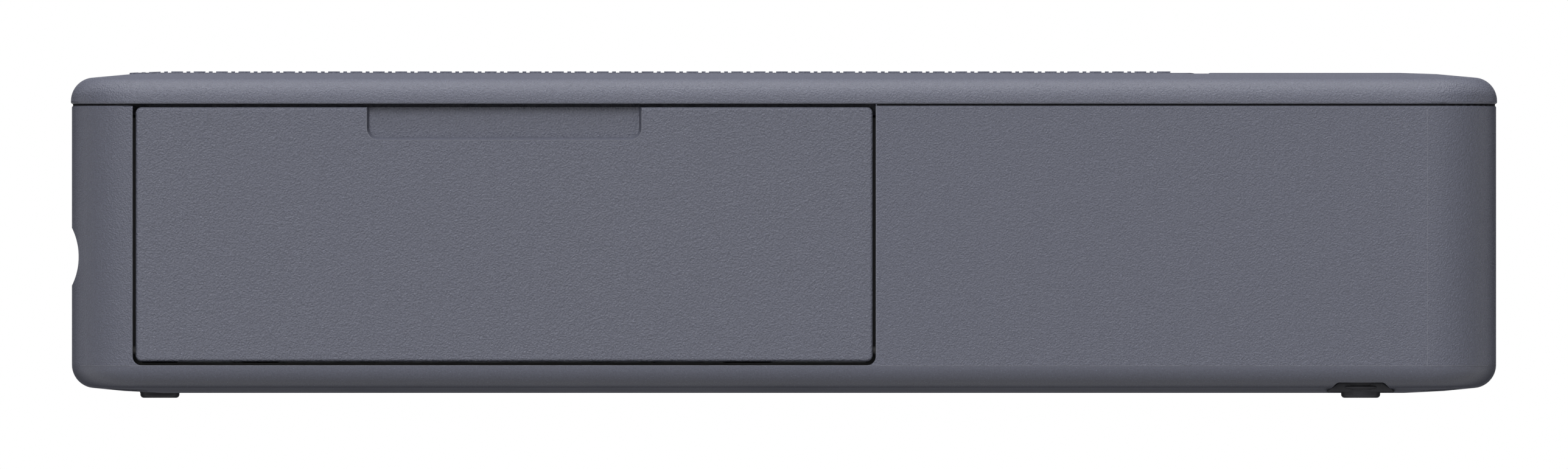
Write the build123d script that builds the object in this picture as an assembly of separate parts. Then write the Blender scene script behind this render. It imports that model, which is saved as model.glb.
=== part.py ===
from build123d import *
import math
import os

os.makedirs("parts", exist_ok=True)

# ------------------------------------------------------------------ driving dimensions, mm
# +X runs along the printer to its rear end, +Y to the side away from the ink door, +Z up.
# The origin lies on the table under the middle of the printer.
LENGTH, WIDTH = 145.8, 102.2        # top cover, seen from above
CORNER_R = 7.1                      # its corners, seen from above
REVEAL = 0.1                        # the lower case stands this far inside the cover's edge
WALL = 2.0
SIDE_Y = WIDTH / 2 - REVEAL         # outer face of the lower case's long sides

BOTTOM_Z = 0.5                      # underside of the case, held up by the feet
FLOOR_Z = 2.5                       # inner floor
RIM_Z = 29.88                       # top of the lower case
COVER_Z = 30.06                     # bottom edge of the top cover
SHOULDER_Z = 32.56                  # where the cover's side would meet its sloping top
DECK_Z = 33.25                      # flat top of the cover
SKIN_Z = 31.45                      # underside of the cover's and lid's plates
EDGE_R = 2.4                        # rounding of the top and bottom edges
SEAM_ROUND, SEAM_STEP = 0.2, 0.12   # the seam between case and cover: its rounding and depth
UNDERSIDE = ((9.5, 0.5), (5.5, 0.7), (REVEAL, 1.22))     # distance in from the edge, height
CROWN = 10.0                        # the top is flat beyond this distance from its edge

DOOR_X0, DOOR_X1 = -66.27, 9.06     # ink door
DOOR_Z0, DOOR_Z1 = 3.73, 29.73
DOOR_THICK, DOOR_ROUND = 2.2, 0.3
DOOR_GAP = 0.32
DOOR_HINGE_Z = DOOR_Z0 + DOOR_THICK / 2
DOOR_HINGE_Y = -SIDE_Y + DOOR_THICK / 2
STOP_Y0, STOP_Y1 = -48.65, -47.85                        # frame behind the door's edges

RECESS_X0, RECESS_X1 = -42.68, -14.54    # finger recess in the door
RECESS_Z, RECESS_DEPTH = 26.39, 1.1

GROOVE_R, GROOVE_Z, GROOVE_DEPTH = 6.67, 14.44, 0.69     # paper-exit groove in the front end
PATH_Z = 14.4                       # the paper leaves at this height
SLOT_HALF, SLOT_TALL = 37.5, 2.5

OPEN_X0, OPEN_X1, OPEN_Y = -67.7, 43.3, 43.3             # lid opening in the cover
LID_GAP = 0.3
LID_AXIS_X, LID_AXIS_Z, BARREL_R = 41.5, 31.75, 1.5
RIB_X0, RIB_X1, RIB_RISE = -66.9, 39.5, 0.15
WIDE_RIB, NARROW_RIB, RIB_GROOVE = 1.55, 0.74, 0.35
PLATE_X, PLATE_Z = 26.0, 30.4       # hinge of the pressure plate

SCREW_X, SCREW_Y, SCREW_SEAT = 67.2, 45.2, 2.15
BOSS_R, BOSS_SPLIT = 2.4, 9.0
EXIT_X = -LENGTH / 2 + REVEAL       # the front end's outer face
USB_Y, USB_Z = -18.0, 10.0
BUTTON_Y, BUTTON_Z, BUTTON_R = 18.0, 14.0, 3.85
LIGHT_YS, LIGHT_Z, LIGHT_R = (5.5, 9.5), 14.0, 0.8
REAR_FOOT_X, REAR_FOOT_Y, FRONT_FOOT_X, FRONT_FOOT_Y = 58.95, 46.4, -63.8, 34.0
POCKET_Z, POCKET_Y0, POCKET_Y1 = 1.56, 42.4, 52.0        # the rear feet stand in pockets
FOOT_R, FOOT_ROUND, FRONT_SEAT_Z = 2.0, 0.35, 0.75
BOARD_Z, BOARD_TOP = 26.0, 27.2
BOARD_SCREWS = [(x, y) for x in (49.5, 60.5) for y in (-41, 41)]

SHEET = 0.8                         # chassis base
NEAR_Y, FAR_Y, PLATE = -46.0, 43.0, 1.0                  # chassis side plates
CHASSIS_X0, CHASSIS_X1, CHASSIS_TOP = -62.0, 46.0, 24.6

TRAY_X0, TRAY_X1, TRAY_HALF, TRAY_Z = -65.5, 33.0, 38.2, 25.5

TURN = (39.0, 20.1)                 # centre of the paper's U-turn
TURN_OUT, TURN_IN, GUIDE = 6.3, 5.2, 1.0

PIN_FIT = 0.05                      # radial clearance of running fits
SHAFT_R, STUD_R, BUSH_R = 1.5, 1.2, 2.2

MODULE = 0.7
PRESSURE = math.radians(20)
LAYER_1, LAYER_2, GEAR_W = 44.3, 46.6, 1.8               # gear layers outside the far plate

CAPSTAN = (11.5, 17.4)              # shaft centres, (x, z)
PICK = (22.0, 21.2)
PLATEN = (-29.0, 19.4)
PINCH = (11.5, 10.8)
TAKEUP = (-3.7, 8.3)
SUPPLY = (-54.0, 8.3)
RIBBON_MOTOR = (-8.0, 20.2)
HEAD_PIVOT = (-14.5, 5.5)
LIFT_CAM = (-20.5, 7.8)
CAPSTAN_R, PINCH_R, PLATEN_R, PICK_R = 3.0, 3.3, 4.7, 4.5
ROLLER_HALF = 38.0
SHAFTS = (CAPSTAN, PLATEN, PICK)
HEAD_TOP, HEAD_X0 = 10.7, -36.0

SUPPLY_ROLL_R, TAKEUP_ROLL_R, HOUSING_R = 3.3, 2.2, 4.6
WEB_Z, WEB_HALF = 14.0, 39.5
CASSETTE_Y0, CASSETTE_Y1 = -46.3, 42.3
GUIDE_RODS = (-48.6, -9.4)


# ------------------------------------------------------------------ basic shapes
def slab(x0, x1, y0, y1, z0, z1):
    """A box between two corners."""
    return Pos((x0 + x1) / 2, (y0 + y1) / 2, (z0 + z1) / 2) * Box(x1 - x0, y1 - y0, z1 - z0)


def rod_x(y, z, radius, x0, x1):
    return Pos((x0 + x1) / 2, y, z) * Rot(0, 90, 0) * Cylinder(radius, x1 - x0)


def rod_y(centre, radius, y0, y1):
    return Pos(centre[0], (y0 + y1) / 2, centre[1]) * Rot(90, 0, 0) * Cylinder(radius, y1 - y0)


def rod_z(x, y, radius, z0, z1):
    return Pos(x, y, (z0 + z1) / 2) * Cylinder(radius, z1 - z0)


def along_y(outline, y0, y1):
    """Push an outline drawn in X and Z from y0 to y1."""
    return extrude(Plane.XZ.offset(-y1) * outline, y1 - y0, dir=(0, -1, 0))


def along_x(outline, x0, x1):
    """Push an outline drawn in Y and Z from x0 to x1."""
    return extrude(Plane.YZ.offset(x0) * outline, x1 - x0, dir=(1, 0, 0))


def tube_y(centre, outer, inner, y0, y1):
    return rod_y(centre, outer, y0, y1) - rod_y(centre, inner, y0 - 1, y1 + 1)


def group(pieces):
    """Separate solids kept together in one node."""
    return Compound(children=[solid for piece in pieces for solid in piece.solids()])


def both_sides(x, y):
    """The four places (+-x, +-y)."""
    return [(sx * x, sy * y) for sx in (-1, 1) for sy in (-1, 1)]


def plan(inset, z):
    """The cover's outline seen from above, shrunk by inset, as a face at height z."""
    corner = max(CORNER_R - inset, 0.6)
    return Pos(0, 0, z) * RectangleRounded(LENGTH - 2 * inset, WIDTH - 2 * inset, corner)


def edges_at(solid, z):
    return solid.edges().filter_by_position(Axis.Z, z - 0.01, z + 0.01)


# ------------------------------------------------------------------ casing
def rear_foot_pocket():
    """A trapezoid pocket that breaks out through the rounded bottom edge."""
    outline = Polygon((55.3, 0.3), (62.6, 0.3), (61.35, POCKET_Z), (56.55, POCKET_Z), align=None)
    outline = fillet(outline.vertices().group_by(Axis.Y)[-1], 0.5)
    return along_y(outline, -POCKET_Y1, -POCKET_Y0)


def lower_case():
    wall_foot = UNDERSIDE[-1][1]
    case = extrude(plan(REVEAL, wall_foot), RIM_Z - wall_foot)
    for lower, upper in zip(UNDERSIDE, UNDERSIDE[1:]):
        case += loft([plan(*lower), plan(*upper)], ruled=True)
    case = fillet(edges_at(case, wall_foot), EDGE_R)
    case = fillet(edges_at(case, RIM_Z), SEAM_ROUND)
    case += extrude(plan(REVEAL + SEAM_STEP, RIM_Z), COVER_Z - RIM_Z)
    case -= extrude(plan(REVEAL + WALL, FLOOR_Z), 40)

    width, height = DOOR_X1 - DOOR_X0 + 2 * DOOR_GAP, 40
    notch = Pos((DOOR_X0 + DOOR_X1) / 2, DOOR_Z0 - 0.4 + height / 2) * RectangleRounded(width, height, 0.9)
    case -= along_y(notch, -60, -SIDE_Y + WALL + 1)
    case -= rod_y((EXIT_X - GROOVE_R + GROOVE_DEPTH, GROOVE_Z), GROOVE_R, -60, 60)
    slot = Pos(0, PATH_Z) * RectangleRounded(2 * SLOT_HALF, SLOT_TALL, 0.5)
    case -= along_x(slot, -80, -68)

    case -= along_x(Pos(USB_Y, USB_Z) * SlotOverall(9.4, 3.6), 68, 80)
    case -= rod_x(BUTTON_Y, BUTTON_Z, BUTTON_R + 0.15, 68, 80)
    for y in LIGHT_YS:
        case -= rod_x(y, LIGHT_Z, LIGHT_R + PIN_FIT, 68, 80)
    for i in range(9):
        x = 36 + 3.2 * i
        case -= slab(x, x + 1.4, 48, 52, 16, 25)

    for x, y in both_sides(SCREW_X, SCREW_Y):
        case += rod_z(x, y, BOSS_R, FLOOR_Z - 0.5, BOSS_SPLIT)
        case -= rod_z(x, y, 1.3, 0, BOSS_SPLIT + 1)
        case -= rod_z(x, y, 2.2, 0, SCREW_SEAT)
    for y in (-FRONT_FOOT_Y, FRONT_FOOT_Y):
        case -= rod_z(FRONT_FOOT_X, y, 1.5, 0, 1.6)
        case -= rod_z(FRONT_FOOT_X, y, FOOT_R + 0.1, 0, FRONT_SEAT_Z)
    pocket = rear_foot_pocket()
    case -= pocket
    case -= mirror(pocket, Plane.XZ)
    for y in (-29.0, 29.0):
        rail = slab(62.4, 65.8, y - 1.6, y + 1.6, FLOOR_Z, 19)
        case += rail
    case -= slab(63.45, 64.75, -28.1, 28.1, FLOOR_Z + 1.5, 21)
    for y in (-47.3, 9.2):
        case += slab(47.5, 60, y - 0.6, y + 0.6, FLOOR_Z, 9)
    case += rod_y(FEED_IDLER, 2.4, LAYER_2 + GEAR_W + 0.2, SIDE_Y - WALL + 0.1)
    case += rod_y(FEED_IDLER, 1.2, LAYER_2 + 0.1, SIDE_Y - WALL)
    return case - group(hinge_pin_rods(0))


def door_stop():
    """A black frame behind the ink door's two ends and its foot, which closes the gap to the eye."""
    x0, x1 = DOOR_X0 - DOOR_GAP, DOOR_X1 + DOOR_GAP
    stop = slab(x0 - 1, x1 + 1, STOP_Y0, STOP_Y1, FLOOR_Z, DOOR_Z0 - 0.11)
    for x, way in ((x0, 1), (x1, -1)):
        near, far = sorted((x - way, x + way))
        stop += slab(near, far, STOP_Y0, STOP_Y1, FLOOR_Z, 28.7)
        near, far = sorted((x - way, x))
        stop += slab(near, far, -SIDE_Y, STOP_Y1, FLOOR_Z, 28.7)
    return stop & extrude(plan(REVEAL + WALL, FLOOR_Z), 30)


def crowned_block(rise, z0):
    """The cover's outer form, solid from z0 up, with its top raised by rise."""
    shoulder, slope = SHOULDER_Z + rise, 33.12 + rise
    block = extrude(plan(0, 28), shoulder - 28)
    block += loft([plan(0, shoulder), plan(6.2, slope)], ruled=True)
    block += loft([plan(6.2, slope), plan(CROWN, DECK_Z + rise)], ruled=True)
    return fillet(edges_at(block, shoulder), EDGE_R) & slab(-80, 80, -60, 60, z0, 40)


def lid_opening(grow, z0, z1):
    """The lid's opening, grown all round, between two heights: round at the front, square at the hinge."""
    centre, half = (OPEN_X0 + OPEN_X1) / 2, OPEN_Y + grow
    outline = RectangleRounded(OPEN_X1 - OPEN_X0 + 2 * grow, 2 * half, 2.5 + grow)
    rear = slab(0, OPEN_X1 + grow, -half, half, z0, z1)
    return extrude(Pos(centre, 0, z0) * outline, z1 - z0) + rear


def top_cover():
    cover = crowned_block(0, COVER_Z)
    cover = fillet(edges_at(cover, COVER_Z), SEAM_ROUND)
    cover -= extrude(plan(3.4, 20), SKIN_Z - 20)
    lip = extrude(plan(2.6, 28.9), 1.5) - extrude(plan(3.5, 20), 20)
    cover += lip
    cover += lid_opening(1.2, 29.5, SKIN_Z + 0.1)
    for y in (-1, 1):
        cover += slab(39.2, OPEN_X1 + 1.2, *sorted((y * OPEN_Y, y * 47.4)), 30.0, SKIN_Z + 0.1)
    cover -= lid_opening(0, 20, 40)
    for x, y in both_sides(SCREW_X, SCREW_Y):
        cover += rod_z(x, y, BOSS_R, BOSS_SPLIT, SKIN_Z + 0.1)
        cover -= rod_z(x, y, 1.02, BOSS_SPLIT - 1, 18)
    for x, y in BOARD_SCREWS:
        cover += rod_z(x, y, 2.0, BOARD_TOP, SKIN_Z + 0.1)
        cover -= rod_z(x, y, 0.82, BOARD_TOP - 1, 30)
    cover -= rod_y((LID_AXIS_X, LID_AXIS_Z), 0.8, -46.5, 46.5)
    thumb = Pos(OPEN_X0, 0, 31.95) * RectangleRounded(5.2, 17, 2.5)
    cover -= extrude(thumb, 5)
    return fillet(cover.edges().filter_by(Axis.Y).filter_by_position(Axis.X, OPEN_X1 - 0.01, OPEN_X1 + 0.01)
                  .sort_by(Axis.Z)[-1], 0.3)


def rib_grooves():
    """The grooves between the lid's ribs in side view: wide and narrow ribs alternate."""
    period = WIDE_RIB + NARROW_RIB
    centres = []
    for i in range(int((RIB_X1 - RIB_X0) / period) + 1):
        centres += [RIB_X1 - WIDE_RIB - i * period, RIB_X1 - (i + 1) * period]
    bars = [Pos(x, DECK_Z + 0.02 + 1) * Rectangle(RIB_GROOVE, 2) for x in centres if x > RIB_X0 + 0.5]
    return Sketch() + bars


def lid():
    x0, x1, half = OPEN_X0 + LID_GAP, LID_AXIS_X, OPEN_Y - LID_GAP
    outline = RectangleRounded(2 * (x1 - x0), 2 * half, 2.2)
    plate = extrude(Pos(x1, 0, SKIN_Z) * outline, 5) & slab(x0 - 1, x1, -60, 60, SKIN_Z, 40)
    cover = crowned_block(0, SKIN_Z) & plate
    cover += crowned_block(RIB_RISE, SKIN_Z) & slab(RIB_X0, RIB_X1, -half + 0.8, half - 0.8, SKIN_Z, 40)
    cover += rod_y((LID_AXIS_X, LID_AXIS_Z), BARREL_R, -half, half)
    for y in (-29.9, 29.9):
        cover += slab(x0 + 2, PLATE_X - 4, y - 0.6, y + 0.6, SKIN_Z - 0.3, SKIN_Z + 0.1)
    for y in (-1, 1):
        lug = Pos(PLATE_X, 30.6) * RectangleRounded(3.6, 3.6, 1.2)
        y0, y1 = sorted((y * 36.7, y * 37.9))
        cover += along_y(lug, y0, y1) & slab(-70, 40, -50, 50, 20, SKIN_Z + 0.1)
        cover -= rod_y((PLATE_X, PLATE_Z), 0.6, *sorted((y * 36, y * 39)))
        cover -= rod_y((LID_AXIS_X, LID_AXIS_Z), 0.8 + PIN_FIT, *sorted((y * 36, y * 44)))
    return cover - along_y(rib_grooves(), -half - 1, half + 1)


def pressure_plate():
    plate = slab(-50, PLATE_X - 2.4, -36.2, 36.2, 30.0, 30.8)
    plate += slab(PLATE_X - 4.4, PLATE_X, -36.2, 36.2, PLATE_Z - 0.9, PLATE_Z + 0.4)
    plate += rod_y((PLATE_X, PLATE_Z), 0.9, -36.2, 36.2)
    plate -= Pos(-18, 0, 30.4) * extrude(RectangleRounded(34, 40, 3), 2, both=True)
    return plate - rod_y((PLATE_X, PLATE_Z), 0.6 + PIN_FIT, -40, 40)


def pins_y(centre, radius, y0, y1):
    """One pin on each side, mirrored about the middle."""
    return group([rod_y(centre, radius, y0, y1), rod_y(centre, radius, -y1, -y0)])


def ink_door():
    y0, y1 = -SIDE_Y, -SIDE_Y + DOOR_THICK
    middle, half = (DOOR_X0 + DOOR_X1) / 2, (DOOR_X1 - DOOR_X0) / 2
    face = Pos(middle, (DOOR_Z0 + DOOR_Z1) / 2) * RectangleRounded(2 * half, DOOR_Z1 - DOOR_Z0, 0.6)
    door = along_y(face, y0, y1)
    door = fillet(door.edges().filter_by_position(Axis.Y, y0 - 0.01, y0 + 0.01), DOOR_ROUND)
    roll = slab(DOOR_X0, DOOR_X1, y0 - 1, y1, DOOR_HINGE_Z, DOOR_Z1) + slab(
        DOOR_X0, DOOR_X1, y0 - 1, DOOR_HINGE_Y, DOOR_Z0, DOOR_HINGE_Z)
    door &= roll + rod_x(DOOR_HINGE_Y, DOOR_HINGE_Z, DOOR_THICK / 2, DOOR_X0, DOOR_X1)
    for x in (DOOR_X0 + 6, -44.0, -13.0, DOOR_X1 - 6):
        door += slab(x - 0.5, x + 0.5, y1 - 0.1, y1 + 0.6, 8, 25.5)
    for z in (8, 16.75, 25.5):
        door += slab(DOOR_X0 + 6, DOOR_X1 - 6, y1 - 0.1, y1 + 0.6, z - 0.5, z + 0.5)
    for x in (DOOR_X0 + 12, DOOR_X1 - 12):
        door += slab(x - 3, x + 3, y1 - 0.1, -46.6, 27.4, 28.3)
        door += slab(x - 3, x + 3, -47.3, -46.6, 28.2, 28.6)
    for x, way in ((DOOR_X0, 1), (DOOR_X1, -1)):
        door -= rod_x(DOOR_HINGE_Y, DOOR_HINGE_Z, 0.5 + PIN_FIT, *sorted((x - way, x + 3.2 * way)))
    width, tall = RECESS_X1 - RECESS_X0, 12.0
    mouth = Pos((RECESS_X0 + RECESS_X1) / 2, RECESS_Z + tall / 2) * RectangleRounded(width, tall, 1.2)
    return door - extrude(Plane.XZ.offset(SIDE_Y) * mouth, -RECESS_DEPTH, taper=14)


def hinge_pin_rods(into_door):
    """The ink door's two pins: the front one is short, because it ends in the case's round corner."""
    front, rear = DOOR_X0 - DOOR_GAP, DOOR_X1 + DOOR_GAP
    return [rod_x(DOOR_HINGE_Y, DOOR_HINGE_Z, 0.5, front - 1.5, DOOR_X0 + into_door),
            rod_x(DOOR_HINGE_Y, DOOR_HINGE_Z, 0.5, DOOR_X1 - into_door, rear + 3)]


def foot(x, y, seat_z, skirt_r):
    """A rubber pad with a rounded sole that flares to its seat."""
    profile = Polygon((0, 0), (FOOT_R, 0), (FOOT_R, 0.45), (skirt_r, seat_z), (0, seat_z), align=None)
    pad = Pos(x, y, 0) * revolve(Plane.XZ * profile, Axis.Z)
    return fillet(edges_at(pad, 0), FOOT_ROUND)


def front_feet():
    pads = []
    for y in (-FRONT_FOOT_Y, FRONT_FOOT_Y):
        pad = foot(FRONT_FOOT_X, y, FRONT_SEAT_Z, FOOT_R + 0.1)
        pads.append(pad + rod_z(FRONT_FOOT_X, y, 1.5, 0.3, 1.6))
    return group(pads)


def rear_feet():
    return group([foot(REAR_FOOT_X, y, POCKET_Z, 2.25) for y in (-REAR_FOOT_Y, REAR_FOOT_Y)])


def screw(x, y, head_r, head_z0, head_z1, shank_r, tip_z):
    body = rod_z(x, y, head_r, head_z0, head_z1) + rod_z(x, y, shank_r, head_z1, tip_z)
    for angle in (0, 90):
        body -= Pos(x, y, head_z0) * Rot(0, 0, angle) * Box(head_r * 1.1, head_r * 0.3, 0.7)
    return body


def case_screws():
    places = both_sides(SCREW_X, SCREW_Y)
    return group([screw(x, y, 1.9, SCREW_SEAT - 0.95, SCREW_SEAT, 1.0, 17) for x, y in places])


# ------------------------------------------------------------------ gears
def polar(centre, radius, angle):
    """A point at a distance and an angle, measured from +X towards +Z, from a centre."""
    return (centre[0] + radius * math.cos(angle), centre[1] + radius * math.sin(angle))


def bearing(a, b):
    return math.atan2(b[1] - a[1], b[0] - a[0])


def mesh_distance(teeth_a, teeth_b):
    return MODULE * (teeth_a + teeth_b) / 2 + 0.03


def place_between(a, dist_a, b, dist_b, side):
    """The point at two given distances from a and b, on the chosen side of the line a-b."""
    span = math.dist(a, b)
    along = math.acos((dist_a ** 2 + span ** 2 - dist_b ** 2) / (2 * dist_a * span))
    return polar(a, dist_a, bearing(a, b) + side * along)


def meshed(phase_a, teeth_a, a, b, teeth_b):
    """The phase of gear b that puts a gap where gear a has a tooth."""
    angle = bearing(a, b)
    pitch_a, pitch_b = 2 * math.pi / teeth_a, 2 * math.pi / teeth_b
    share = ((angle - phase_a) / pitch_a) % 1
    return angle + math.pi - pitch_b * (0.5 - share)


def tooth_points(teeth):
    """One involute tooth about angle 0, as (radius, angle) from its root to its crest and back."""
    pitch_r = MODULE * teeth / 2
    base_r = pitch_r * math.cos(PRESSURE)
    root_r, tip_r = pitch_r - 1.15 * MODULE, pitch_r + 0.85 * MODULE
    backlash = 0.07
    half = (math.pi * MODULE / 2 - backlash) / 2 / pitch_r + math.tan(PRESSURE) - PRESSURE
    flank = [(root_r, None)]
    for share in (0.0, 0.5, 1.0):
        radius = max(base_r, root_r) + (tip_r - max(base_r, root_r)) * share
        spread = math.acos(min(base_r / radius, 1))
        flank.append((radius, half - (math.tan(spread) - spread)))
    flank[0] = (root_r, flank[1][1])
    if base_r <= root_r:
        flank.pop(0)
    return [(r, -a) for r, a in flank] + [(r, a) for r, a in reversed(flank)]


def gear(centre, teeth, phase, y0, y1, bore):
    points = []
    for i in range(teeth):
        turn = phase + 2 * math.pi * i / teeth
        points += [(r * math.cos(turn + a), r * math.sin(turn + a)) for r, a in tooth_points(teeth)]
    blank = along_y(Pos(*centre) * Polygon(*points, align=None), y0, y1)
    return blank - rod_y(centre, bore, y0 - 1, y1 + 1)


N_MOTOR, N_BIG, N_SMALL, N_IDLER, N_CAPSTAN, N_PICK_IDLER, N_PICK = 10, 30, 12, 26, 20, 14, 16
N_RIBBON, N_RIBBON_IDLER, N_HUB = 10, 12, 14

TRAIN_Z = 14.6                      # motor, compound gear and idler lie in one line
FEED_IDLER = (CAPSTAN[0] + math.sqrt(mesh_distance(N_CAPSTAN, N_IDLER) ** 2 - (CAPSTAN[1] - TRAIN_Z) ** 2),
              TRAIN_Z)
COMPOUND = (FEED_IDLER[0] + mesh_distance(N_IDLER, N_SMALL), TRAIN_Z)
FEED_MOTOR = (COMPOUND[0] + mesh_distance(N_BIG, N_MOTOR), TRAIN_Z)
PICK_IDLER = place_between(COMPOUND, mesh_distance(N_BIG, N_PICK_IDLER),
                           PICK, mesh_distance(N_PICK_IDLER, N_PICK), 1)
RIBBON_IDLER = place_between(TAKEUP, mesh_distance(N_HUB, N_RIBBON_IDLER),
                             RIBBON_MOTOR, mesh_distance(N_RIBBON_IDLER, N_RIBBON), 1)

PHASE_CAPSTAN = 0.0
PHASE_IDLER = meshed(PHASE_CAPSTAN, N_CAPSTAN, CAPSTAN, FEED_IDLER, N_IDLER)
PHASE_SMALL = meshed(PHASE_IDLER, N_IDLER, FEED_IDLER, COMPOUND, N_SMALL)
PHASE_MOTOR = meshed(PHASE_SMALL, N_BIG, COMPOUND, FEED_MOTOR, N_MOTOR)
PHASE_PICK_IDLER = meshed(PHASE_SMALL, N_BIG, COMPOUND, PICK_IDLER, N_PICK_IDLER)
PHASE_PICK = meshed(PHASE_PICK_IDLER, N_PICK_IDLER, PICK_IDLER, PICK, N_PICK)
PHASE_HUB = 0.0
PHASE_RIBBON_IDLER = meshed(PHASE_HUB, N_HUB, TAKEUP, RIBBON_IDLER, N_RIBBON_IDLER)
PHASE_RIBBON = meshed(PHASE_RIBBON_IDLER, N_RIBBON_IDLER, RIBBON_IDLER, RIBBON_MOTOR, N_RIBBON)


def layer_gear(centre, teeth, phase, layer, bore):
    return gear(centre, teeth, phase, layer, layer + GEAR_W, bore)


def compound_gear():
    big = layer_gear(COMPOUND, N_BIG, PHASE_SMALL, LAYER_1, STUD_R + PIN_FIT)
    big -= tube_y(COMPOUND, 8.6, 4.9, LAYER_1 - 1, LAYER_1 + 0.5)
    small = gear(COMPOUND, N_SMALL, PHASE_SMALL, LAYER_1 + GEAR_W, LAYER_2 + GEAR_W, STUD_R + PIN_FIT)
    return big + small


def feed_idler():
    wheel = layer_gear(FEED_IDLER, N_IDLER, PHASE_IDLER, LAYER_2, STUD_R + PIN_FIT)
    return wheel - tube_y(FEED_IDLER, 7.4, 3.4, LAYER_2 - 1, LAYER_2 + 0.5)


def gear_studs():
    far = FAR_Y
    return group([rod_y(COMPOUND, STUD_R, far, LAYER_2 + GEAR_W + 0.2),
                  rod_y(PICK_IDLER, STUD_R, far, LAYER_1 + GEAR_W),
                  rod_y(RIBBON_IDLER, STUD_R, far, LAYER_1 + GEAR_W + 0.2)])


def pinion(centre, teeth, phase):
    """A motor's brass pinion on its shaft, which passes through the far plate."""
    wheel = layer_gear(centre, teeth, phase, LAYER_1, 0.75)
    return wheel + rod_y(centre, 0.75, FAR_Y - 0.6, LAYER_1 + GEAR_W)


def takeup_hub():
    """The gear outside the far plate whose hub turns the take-up spool."""
    hub = layer_gear(TAKEUP, N_HUB, PHASE_HUB, LAYER_1, 0.5)
    hub += rod_y(TAKEUP, 1.8, FAR_Y - 0.5, LAYER_1 + 0.1)
    hub += rod_y(TAKEUP, 0.9, FAR_Y - 4, LAYER_1)
    return hub


# ------------------------------------------------------------------ chassis and guides
def cassette_window(grow, y0, y1):
    """The cassette's end view: two round housings joined by a flat bar."""
    outline = Pos(*SUPPLY) * Circle(HOUSING_R + grow) + Pos(*TAKEUP) * Circle(HOUSING_R + grow)
    middle, span = (SUPPLY[0] + TAKEUP[0]) / 2, TAKEUP[0] - SUPPLY[0]
    outline += Pos(middle, 13.1) * Rectangle(span + 2, 1.6 + 2 * grow)
    return along_y(outline, y0, y1)


def chassis():
    base = slab(CHASSIS_X0, CHASSIS_X1, NEAR_Y, FAR_Y + PLATE, FLOOR_Z, FLOOR_Z + SHEET)
    near = slab(CHASSIS_X0, CHASSIS_X1, NEAR_Y, NEAR_Y + PLATE, FLOOR_Z, CHASSIS_TOP)
    far = slab(CHASSIS_X0, 62, FAR_Y, FAR_Y + PLATE, FLOOR_Z, CHASSIS_TOP)
    frame = base + near + far
    for x in (-60, 28):
        frame += slab(x, x + 5, NEAR_Y, NEAR_Y + 8, CHASSIS_TOP - SHEET, CHASSIS_TOP)
        frame += slab(x, x + 5, FAR_Y - 7, FAR_Y + PLATE, CHASSIS_TOP - SHEET, CHASSIS_TOP)
    frame -= cassette_window(0.6, NEAR_Y - 1, NEAR_Y + PLATE + 1)
    for x, half in ((-29, 9), (22, 11)):
        frame -= extrude(Pos(x, -1, FLOOR_Z - 1) * RectangleRounded(2 * half, 56, 3), 4)
    frame -= slab(48, 60, FAR_Y - 1, FAR_Y + 2, FLOOR_Z - 1, 5.5)
    for centre in SHAFTS:
        frame -= rod_y(centre, BUSH_R, -60, 60)
    frame -= rod_y(PINCH, STUD_R + PIN_FIT, -60, 60)
    frame -= rod_y(LIFT_CAM, 1.0 + PIN_FIT, -60, 60)
    frame -= rod_y(HEAD_PIVOT, STUD_R, -60, 60)
    for centre in (COMPOUND, PICK_IDLER, RIBBON_IDLER):
        frame -= rod_y(centre, STUD_R, FAR_Y - 1, 60)
    frame -= rod_y(TAKEUP, 1.8 + PIN_FIT, FAR_Y - 1, 60)
    for centre in (FEED_MOTOR, RIBBON_MOTOR):
        frame -= rod_y(centre, 1.6, FAR_Y - 1, 60)
    bend = frame.edges().filter_by(Axis.X).filter_by_position(Axis.Z, FLOOR_Z - 0.01, FLOOR_Z + 0.01)
    return fillet(bend.filter_by_position(Axis.Y, NEAR_Y - 0.01, NEAR_Y + 0.01), 0.7)


def shaft_bushes():
    """Flanged bushes that carry the driven shafts in the two side plates."""
    bushes = []
    for centre in SHAFTS:
        for y0, y1, f0, f1 in ((NEAR_Y, NEAR_Y + 2, NEAR_Y + PLATE, NEAR_Y + 2),
                               (FAR_Y - 1, FAR_Y + PLATE, FAR_Y - 1, FAR_Y)):
            bush = rod_y(centre, BUSH_R, y0, y1) + rod_y(centre, 3.0, f0, f1)
            bushes.append(bush - rod_y(centre, SHAFT_R + PIN_FIT, -60, 60))
    return group(bushes)


def paper_tray():
    x0, x1, half, z = TRAY_X0, TRAY_X1, TRAY_HALF, TRAY_Z
    tray = slab(x0, x1, -half - 1.2, half + 1.2, CHASSIS_TOP, 30.9)
    tray += slab(x0, x1, -43.1, 43.1, 29.9, 30.9)
    tray -= slab(x0 + 1.2, x1 + 1, -half, half, z, 40)
    for y in (-14, 14):
        tray -= slab(PICK[0] - 3.8, PICK[0] + 3.8, y - 5.6, y + 5.6, 20, 30)
    for y in (-24, -8, 8, 24):
        tray += slab(x0 + 3, PICK[0] - 6, y - 0.6, y + 0.6, z - 0.1, z + 0.2)
    for y in (-1, 1):
        for x in (-52, -20, 12):
            tray += slab(x - 0.6, x + 0.6, *sorted((y * (half + 1.1), y * 43.1)), 26.5, 30)
    return tray


def half_ring(outer, inner):
    ring = Circle(outer) - Circle(inner)
    return Pos(*TURN) * (ring & Pos(50, 0) * Rectangle(100, 100))


def turn_guide():
    """The outer shell that turns the paper down and back under itself."""
    outer = TURN_OUT + GUIDE
    lead = Pos(TURN[0] - 2.4, TURN[1] + TURN_OUT + GUIDE / 2) * Rectangle(4.8, GUIDE)
    shell = along_y(half_ring(outer, TURN_OUT) + lead, NEAR_Y + PLATE, FAR_Y)
    for y in (-30, -10, 10, 30):
        shell += along_y(half_ring(outer + 0.5, outer - 0.1), y - 0.5, y + 0.5)
    return shell


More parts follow.
